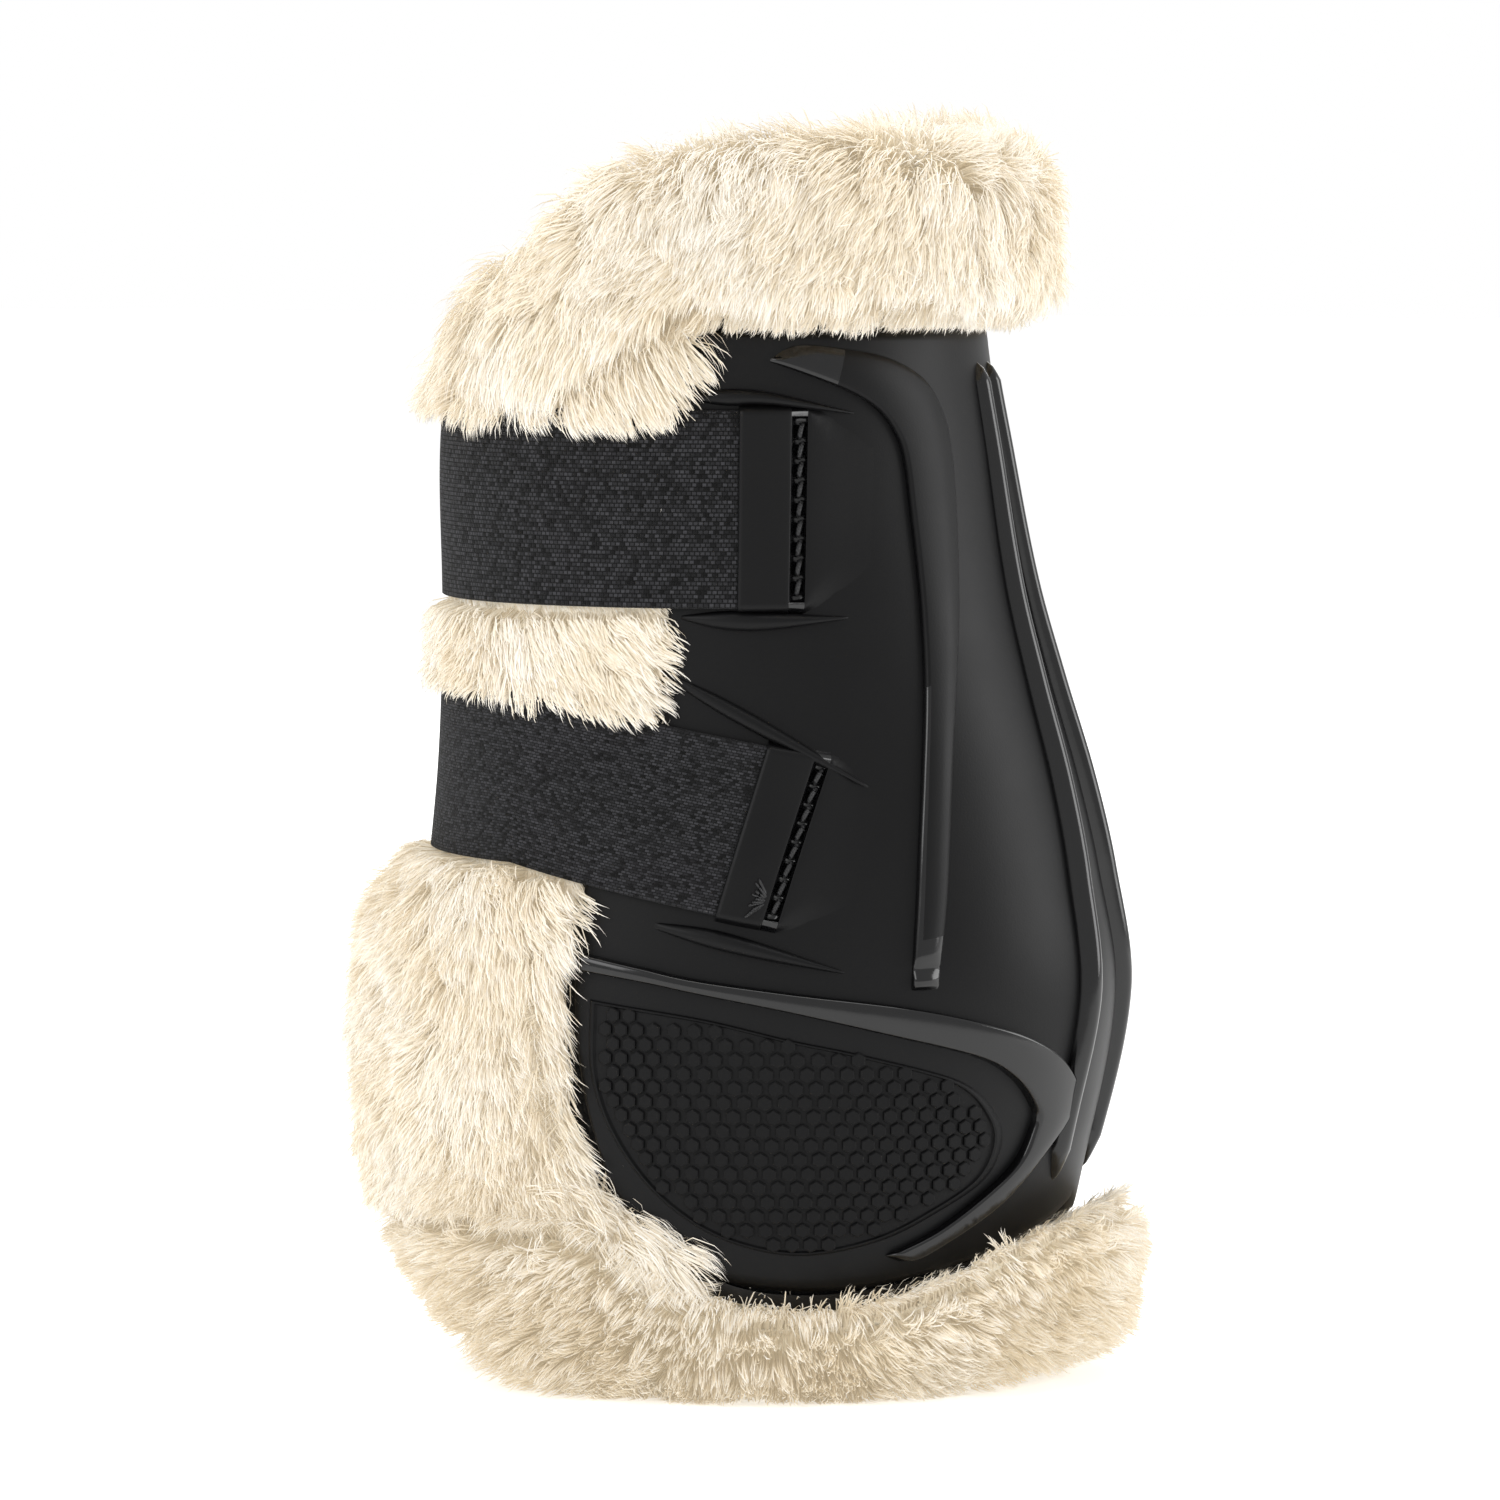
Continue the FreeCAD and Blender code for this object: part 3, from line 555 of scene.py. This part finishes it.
def lower_line(x, t):
    foot = steps(((-90, 83.5), (-25, 82.5), (9.5, 75.5), (60, 65.1)), x)
    top = steps(((-90, 110.5), (-30, 109.0), (-16, 107.4), (16.5, 101.0), (60, 92.1)), x)
    return foot + (top - foot) * t


def elastic_band(name, line, near_end, far_end, material):
    """A band whose near_end and far_end give x across its width, flat in section with round edges."""
    bm = bmesh.new()
    along, over = 220, 30
    ring = [(k / over, 1.0) for k in range(over + 1)] + [(1.006, 0.8), (1.009, 0.5), (1.006, 0.2)]
    ring += [(1 - k / 10, 0.0) for k in range(11)] + [(-0.006, 0.2), (-0.009, 0.5), (-0.006, 0.8), (0.0, 1.0)]

    def place(i, j):
        t, high = ring[j]
        s = 2 * i / along
        part = s if s <= 1 else 2 - s
        x_end = (near_end if s <= 1 else far_end)(t)
        z = line(x_end, t)
        stop = turn_to(x_end, z, STRAP_IN)
        for _ in range(3):
            angle = stop + (math.pi - stop) * part
            back, _, front = steady(OUTSIDE, z)
            z = line((back if math.cos(angle) > 0 else front) * math.cos(angle), t)
        rise = min(1.0, (math.pi - angle) / WRAP) if s > 1 else 0.0
        crown = 0.12 * math.sin(math.pi * min(1.0, max(0.0, t))) * high
        out = STRAP_IN + END_RISE * rise * rise * (3 - 2 * rise) + ELASTIC_THICK * high * 0.92 + crown
        return on_boot(-angle if s <= 1 else angle, z, out)

    marks = rows_of(bm, along, len(ring) - 1, place, wrap=True)
    layer = bm.loops.layers.uv.new("weave")
    run = [0.0]
    for i in range(along):
        run.append(run[-1] + (place(i + 1, over // 2) - place(i, over // 2)).length / MM)
    for face in bm.faces:
        for loop in face.loops:
            i, j = marks[loop.vert]
            loop[layer].uv = (run[i], (ring[j][0] + 0.3 * (1 - ring[j][1])) * 30.0)
    bmesh.ops.remove_doubles(bm, verts=bm.verts, dist=1e-6)
    bmesh.ops.holes_fill(bm, edges=[e for e in bm.edges if e.is_boundary], sides=0)
    bmesh.ops.recalc_face_normals(bm, faces=bm.faces)
    return piece(name, bm, material)


def woven_elastic(name, wide, tall, fuzz):
    """Black polyester over rubber cords: cords along the band, picks across it, a little lint."""
    material, tree, surface = finish(name, "#0b0b0c", 0.8, IOR=1.5, Specular_IOR_Level=0.15,
                                     Sheen_Weight=0.04,
                                     Sheen_Roughness=0.5)
    place = add(tree, "UVMap", uv_map="weave").outputs["UV"]
    # the cords take one of two tones brick by brick; the mortar, where the bump sinks between them, is
    # darkest: painted shade in the gaps
    cords = add(tree, "TexBrick", {"Vector": place}, offset=0.5, Scale=1.0, Brick_Width=wide, Row_Height=tall,
                Mortar_Size=0.2 * tall, Mortar_Smooth=1.0, Color1=linear("#3c3c3f"), Color2=linear("#0b0b0b"),
                Mortar=linear("#020202"))
    lint = add(tree, "TexNoise", {"Vector": place}, Scale=1.1, Detail=4.0)
    sunk = add(tree, "MapRange", {"Value": cords.outputs["Fac"]}, To_Min=1.0, To_Max=0.0)
    height = add(tree, "Math", {0: sunk.outputs["Result"], 1: lint.outputs["Fac"]}, operation="ADD")
    embossed(tree, surface, height.outputs[0], Strength=0.9, Distance=0.00035)
    mixed = add(tree, "MixRGB", {"Color1": cords.outputs["Color"]}, Color2=linear("#26262a"))
    spot = add(tree, "MapRange", {"Value": lint.outputs["Fac"]}, From_Min=0.55, From_Max=0.8, To_Max=fuzz)
    tree.links.new(spot.outputs["Result"], mixed.inputs["Fac"])
    tree.links.new(mixed.outputs["Color"], surface.inputs["Base Color"])
    uneven(tree, surface, lint.outputs["Fac"], 0.7, 0.95)
    return material


ribbed = woven_elastic("ribbed_woven_elastic", 0.8, 0.66, 0.25)
twill = woven_elastic("fine_woven_elastic", 0.85, 0.5, 0.25)
bands = (
    ("upper", upper_line, lambda t: 11.4, lambda t: 28.0, ribbed, (-0.04705, 0.1375)),
    ("lower", lower_line, lambda t: 9.4 + 7.0 * t, lambda t: 26.5 + 7.0 * t, twill, (-0.0484, 0.0955)),
)
for strap, line, near_end, far_end, material, (x, z) in bands:
    band = elastic_band(strap + "_elastic_band", line, near_end, far_end, material)
    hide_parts(strap + "_strap_near", strap + "_strap_far")
    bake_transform(band)

# ---- Stitching ----
# Black bonded thread: a row of lock stitches down each port's groove, a tuft of cut ends at the foot
# of the lower row, and rows through the hook patches on the closure side.
THREAD = 0.42

thread, tree, surface = finish("bonded_polyester_thread", "#0a0a0b", 0.45, IOR=1.5, Specular_IOR_Level=0.5)
twist = add(tree, "TexWave", {"Vector": add(tree, "TexCoord").outputs["Object"]}, bands_direction="DIAGONAL",
            Scale=900.0,
            Distortion=1.5)
embossed(tree, surface, twist.outputs["Fac"], Strength=0.7, Distance=0.0001)
# lighter on the raised ridges of the twist and darker in its grooves: painted shade
tinted(tree, surface, twist.outputs["Fac"], "#060606", "#1c1c1f")


def thread_run(bm, points, radius):
    """A round thread along a smooth line, tapering where it goes through the cloth."""
    line = [Vector(p) for p in drawn(points, 12)]

    def place(i, j):
        ahead = (line[min(12, i + 1)] - line[max(0, i - 1)]).normalized()
        one = ahead.orthogonal().normalized()
        two = ahead.cross(one)
        turn = 2 * math.pi * j / 8
        thick = radius * MM * (0.55 + 0.45 * math.sin(math.pi * i / 12) ** 0.4)
        return line[i] + (one * math.cos(turn) + two * math.sin(turn)) * thick

    rows_of(bm, 12, 8, place, wrap=True)


for strap, at, row, tall in (("upper", upper_port, 8.6, 30.0), ("lower", lower_port, 8.1, 26.4)):
    bm = bmesh.new()
    count = int((tall - 2.6) / 2.9)
    for number in range(count):
        middle = (1.5 + (tall - 3.0) * (number + 0.5) / count) / tall
        points = []
        for step, out in ((-1.25, 0.1), (-0.8, 0.62), (0.0, 0.8), (0.8, 0.62), (1.25, 0.1)):
            x, z = at(row + 0.18 * step, middle + step / tall)
            points.append(on_boot(-turn_to(x, z, out), z, out))
        thread_run(bm, points, THREAD)
    if strap == "lower":
        for number in range(11):
            fan, reach = 0.2 * number - 1, 0.85 - 0.12 * (number % 3)
            points = []
            for step in range(4):
                rise = 0.12 + 0.004 * number + 0.022 * fan * step * (1 + 0.15 * step)
                x, z = lower_port(6.9 - reach * step, rise)
                points.append(on_boot(-turn_to(x, z, 1.6), z, 0.9 + 0.45 * step))
            thread_run(bm, points, 0.26)
    bmesh.ops.remove_doubles(bm, verts=bm.verts, dist=1e-6)
    bmesh.ops.holes_fill(bm, edges=[e for e in bm.edges if e.is_boundary], sides=0)
    bmesh.ops.recalc_face_normals(bm, faces=bm.faces)
    sewn = piece(strap + "_port_stitching", bm, thread)
    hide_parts(strap + "_anchor_stitching")
    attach(sewn, "boot")


def dress(node, material):
    """Gives a CAD node this material in every slot it has."""
    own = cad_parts[node]
    if not own.material_slots:
        own.data.materials.append(material)
    for held in own.material_slots:
        held.material = material


for strap in ("upper", "lower"):
    dress(strap + "_hook_stitching", thread)

# ---- Knitted backing and bindings ----
# A thin black spacer knit is bonded inside the shell; a knitted tape binds it above the shell and a
# smooth rubbery tape binds it below the foot.
knit, tree, surface = finish("black_spacer_knit", "#0a0a0b", 0.9, IOR=1.5, Specular_IOR_Level=0.2,
                             Sheen_Weight=0.2)
coords = add(tree, "TexCoord").outputs["Object"]
loops = add(tree, "TexVoronoi", {"Vector": coords}, Scale=1100.0)
embossed(tree, surface, loops.outputs["Distance"], Strength=0.8, Distance=0.0004, invert=True)
# lighter on the raised loops and darker in the gaps between them: painted shade in the gaps
tinted(tree, surface, loops.outputs["Distance"], "#1a1a1c", "#040404")
tape, tree, surface = finish("smooth_binding_tape", "#08080a", 0.35, IOR=1.5, Specular_IOR_Level=0.4)
cloud = add(tree, "TexNoise", {"Vector": add(tree, "TexCoord").outputs["Object"]}, Scale=500.0, Detail=3.0)
uneven(tree, surface, cloud.outputs["Fac"], 0.28, 0.45)
dress("backing", knit)
dress("top_binding", knit)
dress("bottom_binding", tape)

# ---- Hook and loop ----
# A patch of moulded hooks under each strap's end and a patch of brushed loops bonded to the shell.
hooks, tree, surface = finish("moulded_nylon_hooks", "#0c0c0d", 0.4, IOR=1.53, Specular_IOR_Level=0.5)
dots = add(tree, "TexVoronoi", {"Vector": add(tree, "TexCoord").outputs["Object"]}, Scale=900.0,
           Randomness=0.2)
embossed(tree, surface, dots.outputs["Distance"], Strength=1.0, Distance=0.0008, invert=True)
# lighter on the raised hooks and darker in the gaps between them: painted shade in the gaps
tinted(tree, surface, dots.outputs["Distance"], "#1d1d20", "#040404")
loops_tape, tree, surface = finish("brushed_nylon_loops", "#101012", 0.95, IOR=1.53, Specular_IOR_Level=0.2,
                                   Sheen_Weight=0.4)
fuzz = add(tree, "TexNoise", {"Vector": add(tree, "TexCoord").outputs["Object"]}, Scale=1500.0, Detail=6.0,
           Distortion=1.5)
embossed(tree, surface, fuzz.outputs["Fac"], Strength=1.0, Distance=0.0007)
# lighter where the fibres are raised and darker in the hollows between them: painted shade
tinted(tree, surface, fuzz.outputs["Fac"], "#050505", "#222226")
for strap in ("upper", "lower"):
    dress(strap + "_hook_patch", hooks)
    dress(strap + "_loop_patch", loops_tape)
    dress(strap + "_strap_root", knit)

# ---- Fur ----
# A cream faux-fur lining, folded out over the collar, the front edges and the foot. Each cushion is its
# backing and dense underfur; loose tufts of longer hair are laid over it.
# the underfur's faint emission is painted light that lifts the shade in the pile
underfur, tree, surface = finish("cream_underfur", "#f0e7d3", 0.95, IOR=1.5, Specular_IOR_Level=0.15,
                                 Sheen_Weight=0.4,
                                 Emission_Strength=0.08)
surface.inputs["Emission Color"].default_value = linear("#f0e7d3")
coords = add(tree, "TexCoord").outputs["Object"]
tufts = add(tree, "TexNoise", {"Vector": coords}, Scale=260.0, Detail=6.0, Distortion=1.2)
patch = add(tree, "TexNoise", {"Vector": coords}, Scale=45.0, Detail=2.0)
warm = add(tree, "MixRGB", {"Fac": patch.outputs["Fac"]}, Color1=linear("#f3ebd9"), Color2=linear("#e9dfc9"))
# paler where the tufts are raised and darker in the hollows between them, painted shade; the warm patches
# differ at random
deep = add(tree, "MixRGB", {"Fac": tufts.outputs["Fac"], "Color1": warm.outputs["Color"]},
           Color2=linear("#fbf5e6"))
tree.links.new(deep.outputs["Color"], surface.inputs["Base Color"])
embossed(tree, surface, tufts.outputs["Fac"], Strength=0.8, Distance=0.0015)
hairs = []
for name, colour in (("fur_root_shadow", "#e6dbc5"), ("fur_warm_cream", "#efe4cf"),
                     ("fur_pale_cream", "#f4ecdd"),
                     ("fur_white_tip", "#f8f3ea")):
    # each hair is painted darkest at its root and palest at its tip, painted shade that deepens down into the
    # pile, and its middle tone differs at random from clump to clump; the faint glow is painted light, an
    # emission that stands in for the light passing from hair to hair and lifts the shade inside the pile
    hair, _, surface = finish(name, colour, 0.6, IOR=1.5, Specular_IOR_Level=0.2, Emission_Strength=0.1)
    surface.inputs["Emission Color"].default_value = linear("#f6efe0")
    hairs.append(hair)


def cushion(node, grain, sink):
    """A soft copy of a fur node: remeshed, sunk by sink(place) mm below its face, and lumpy."""
    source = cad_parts[node]
    mesh = source.data.copy()
    made = bpy.data.objects.new(node + "_cushion", mesh)
    bpy.context.scene.collection.objects.link(made)
    skin = made.modifiers.new("skin", "REMESH")
    skin.mode = "VOXEL"
    skin.voxel_size = grain * MM
    ease = made.modifiers.new("ease", "SMOOTH")
    ease.factor = 0.5
    ease.iterations = 4
    shape = bpy.data.meshes.new_from_object(made.evaluated_get(bpy.context.evaluated_depsgraph_get()))
    made.modifiers.clear()
    made.data = shape
    bpy.data.meshes.remove(mesh)
    normals = [v.normal.copy() for v in shape.vertices]
    for vert, normal in zip(shape.vertices, normals):
        lump = 0.5 * noise.noise(vert.co * 120) + 0.35 * noise.noise(vert.co * 300)
        vert.co -= normal * (sink(vert.co) + lump) * MM
    shape.shade_smooth()
    shape.materials.clear()
    shape.materials.append(underfur)
    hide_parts(node)
    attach(made, "boot")
    return made


def grow(name, base, count, long, lay, seed, keep=None, stand=1.0):
    """Tapered hairs on a cushion, gathered into clumps and combed by lay(root, normal).

    long gives the length in mm, keep where they grow, and stand how far they lift off the cushion.
    A hair is written straight into its mesh as seven corners, because no operator makes a pile.
    """
    clump, wide = 3.2, 0.23
    rng = np.random.default_rng(seed)
    mesh = base.data
    mesh.calc_loop_triangles()
    places = np.empty(len(mesh.vertices) * 3)
    mesh.vertices.foreach_get("co", places)
    places = places.reshape(-1, 3)
    normals = np.empty(len(mesh.vertices) * 3)
    mesh.vertices.foreach_get("normal", normals)
    normals = normals.reshape(-1, 3)
    corners = np.empty(len(mesh.loop_triangles) * 3, int)
    mesh.loop_triangles.foreach_get("vertices", corners)
    corners = corners.reshape(-1, 3)
    a, b, c = (places[corners[:, k]] for k in range(3))
    middles = (a + b + c) / 3
    sizes = np.linalg.norm(np.cross(b - a, c - a), axis=1)
    if keep:
        sizes = sizes * keep(middles, normals[corners].mean(axis=1))
    pick = rng.choice(len(corners), count, p=sizes / sizes.sum())
    u, v = rng.random(count), rng.random(count)
    flip = u + v > 1
    u[flip], v[flip] = 1 - u[flip], 1 - v[flip]
    w = 1 - u - v
    roots = a[pick] * w[:, None] + b[pick] * u[:, None] + c[pick] * v[:, None]
    faces = normals[corners[pick]]
    out = faces[:, 0] * w[:, None] + faces[:, 1] * u[:, None] + faces[:, 2] * v[:, None]
    out /= np.linalg.norm(out, axis=1)[:, None] + 1e-9

    area = sizes.sum() / 2 * 1e6
    heads = rng.choice(count, min(count, max(8, int(area / clump ** 2))), replace=False)
    tree = KDTree(len(heads))
    for k, head in enumerate(heads):
        tree.insert(roots[head], k)
    tree.balance()
    own = np.array([heads[tree.find(root)[1]] for root in roots])

    wind = np.array([noise.noise_vector(Vector(roots[head]) * 70) for head in heads])
    fine = np.array([noise.noise_vector(Vector(roots[head]) * 260) for head in heads])
    at = np.zeros(count, int)
    at[heads] = np.arange(len(heads))
    sway = wind[at[own]] * 0.6 + fine[at[own]] * 0.35
    comb = lay(roots, out)
    length = long(roots) * (0.75 + 0.35 * rng.random(count)) * MM
    aim_own = out * 0.42 + comb * 1.1 + sway * 0.5 + rng.normal(0, 0.13, (count, 3))
    # hairs never dive back into the cushion they grow on
    dip = np.einsum("ij,ij->i", aim_own, out)
    aim_own += out * (np.maximum(dip, 0.22) * stand - dip)[:, None]
    aim_own /= np.linalg.norm(aim_own, axis=1)[:, None]
    tips = roots + aim_own * length[:, None]
    gather = roots[own] + aim_own[own] * length[own][:, None]
    pull = rng.uniform(0.1, 0.65, count)[:, None]
    tips = tips * (1 - pull) + gather * pull
    rise = out * 0.75 * stand + aim_own * 0.5
    mids = roots + rise * (length * 0.42)[:, None] * 0.8 + (tips - roots) * 0.18
    across = np.cross(tips - roots, out + rng.normal(0, 0.35, (count, 3)))
    across /= np.linalg.norm(across, axis=1)[:, None] + 1e-12
    half = across * (wide * MM / 2 * rng.uniform(0.7, 1.25, count))[:, None]
    deep = roots - out * 0.4 * MM
    upper = mids * 0.42 + tips * 0.58 + rise * (length * 0.06)[:, None]
    points = np.stack([deep - half, deep + half, mids - half, mids + half,
                       upper - half * 0.7, upper + half * 0.7, tips], axis=1)
    points[..., 2] = np.maximum(points[..., 2], 0.2 * MM)
    tone = np.clip(np.round(1.6 + 2.2 * wind[at[own], 0] + rng.normal(0, 0.5, count)), 1, 3).astype(int)
    per = 38000
    for part in range(0, count, per):
        some = points[part:part + per]
        size = len(some)
        mesh = bpy.data.meshes.new(f"{name}_{part // per + 1}")
        base_index = np.arange(size)[:, None] * 7
        order = np.array([0, 1, 3, 2, 2, 3, 5, 4, 4, 5, 6])
        mesh.vertices.add(size * 7)
        mesh.vertices.foreach_set("co", some.ravel())
        mesh.loops.add(size * 11)
        mesh.loops.foreach_set("vertex_index", (base_index + order).ravel())
        mesh.polygons.add(size * 3)
        mesh.polygons.foreach_set("loop_start", (np.arange(size)[:, None] * 11 + np.array([0, 4, 8])).ravel())
        tones = tone[part:part + per]
        # slot 0 paints every hair's root the darker root tone and the tip one tone paler than the middle:
        # painted shade down in the pile
        slots = np.stack([np.zeros(size, int), tones, np.minimum(3, tones + 1)], axis=1)
        for hair in hairs:
            mesh.materials.append(hair)
        mesh.polygons.foreach_set("material_index", slots.ravel())
        mesh.update()
        mesh.shade_smooth()
        made = bpy.data.objects.new(mesh.name, mesh)
        bpy.context.scene.collection.objects.link(made)
        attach(made, "boot")


def combed(back, up, outward=0.0):
    """A lay for the hairs: towards the back and up, each a number or a rule of the place, and off the leg."""
    def lay(roots, out):
        away = np.stack([roots[:, 0], roots[:, 1], np.zeros(len(roots))], axis=1)
        away /= np.linalg.norm(away, axis=1)[:, None] + 1e-9
        x = back(roots) if callable(back) else np.full(len(roots), back)
        z = up(roots) if callable(up) else np.full(len(roots), up)
        return np.stack([x, np.zeros(len(roots)), z], axis=1) + away * outward
    return lay


def under_straps(middles, normals):
    """1 on the front flaps where a strap presses the pile flat, else 0."""
    x, z = middles[:, 0] / MM, middles[:, 2] / MM
    foot = np.interp(x, [-90, -25, 9.5], [83.5, 82.5, 75.5])
    top = np.interp(x, [-90, -30, -16, 16.5], [110.5, 109.0, 107.4, 101.0])
    under = ((z > 121.8) & (z < 153.2)) | ((z > foot - 0.5) & (z < top + 0.7))
    return under * (normals[:, 0] * middles[:, 0] + normals[:, 1] * middles[:, 1] > 0).astype(float)


def beside_straps(middles, normals):
    """1 where the pile stands free on the front flaps, 0 under the straps, little inside the leg."""
    faces_out = normals[:, 0] * middles[:, 0] + normals[:, 1] * middles[:, 1] > 0
    return np.where(faces_out, 1.0 - under_straps(middles, normals), 0.1)


def part_way(value, start, stop):
    """0 at start, 1 at stop, and level outside them."""
    return min(1.0, max(0.0, (value / MM - start) / (stop - start)))


collar = cushion("top_fur_roll", 2.0, lambda p: 3.6 + 4.0 * part_way(-p.x, 8, 36) * part_way(p.z, 160, 178))
foot = cushion("bottom_fur_roll", 1.6, lambda p: 2.4)
for vert in foot.data.vertices:
    # the fold turns up towards the front edges, and a little at the heel
    lift = np.interp(vert.co.x / MM, [-50, -44, -36, -26, -14, 30, 42, 52, 61],
                     [19, 16, 11, 4.5, 0, 0, 2.5, 6, 4])
    vert.co.z += lift * max(0.0, 1 - vert.co.z / (26 * MM)) * MM
flaps = [cushion("front_flap_" + side, 1.2, lambda p: 0.2 + 3.2 * min(1.0, max(0.0, (0.079 - p.z) / 0.02)))
         for side in ("anchor_side", "closure_side")]
lining = cushion("fur_lining", 2.6, lambda p: 0.2)


def below_collar(r):
    """1 on the lower front of the collar, where its pile hangs over the flaps, else 0."""
    return np.clip((0.004 - r[:, 0]) / 0.02, 0, 1) * np.clip((0.172 - r[:, 2]) / 0.01, 0, 1)


def over_shell(r):
    """1 on the upper back of the foot roll, where a long pile would cover the binding, else 0."""
    return np.clip((r[:, 0] + 0.004) / 0.01, 0, 1) * np.clip((r[:, 2] - 0.011) / 0.005, 0, 1)


grow("collar_hair", collar, 108000, lambda r: 8.5 + 4.0 * below_collar(r),
     combed(-0.2, lambda r: -0.45 - 0.6 * below_collar(r)), 11)
grow("foot_hair", foot, 68000, lambda r: 9.0 - 3.0 * over_shell(r),
     combed(-0.05, lambda r: np.interp(r[:, 2], [0.0, 0.006, 0.017], [0.3, -0.2, -0.3]), 0.75), 12)
for number, flap in enumerate(flaps):
    grow(f"front_hair_{number + 1}", flap, 50000,
         lambda r: np.interp(r[:, 2], [0.075, 0.085, 0.152, 0.156], [9.5, 6.0, 6.0, 9.0]),
         combed(lambda r: np.interp(r[:, 0], [-0.04, -0.015], [-0.25, 0.45]), -0.45), 13 + number,
         keep=beside_straps)
    grow(f"pressed_hair_{number + 1}", flap, 9000, lambda r: np.full(len(r), 5.0), combed(0.35, -0.5),
         16 + number, keep=under_straps, stand=0.12)
grow("lining_hair", lining, 26000, lambda r: np.full(len(r), 5.5), combed(0.0, -0.3), 15,
     keep=lambda m, n: (m[:, 0] * n[:, 0] + m[:, 1] * n[:, 1] < 0).astype(float))

size = {"cad": [list(map(float, corner)) for corner in cad_box],
        "visual": [list(map(float, corner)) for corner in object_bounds()]}
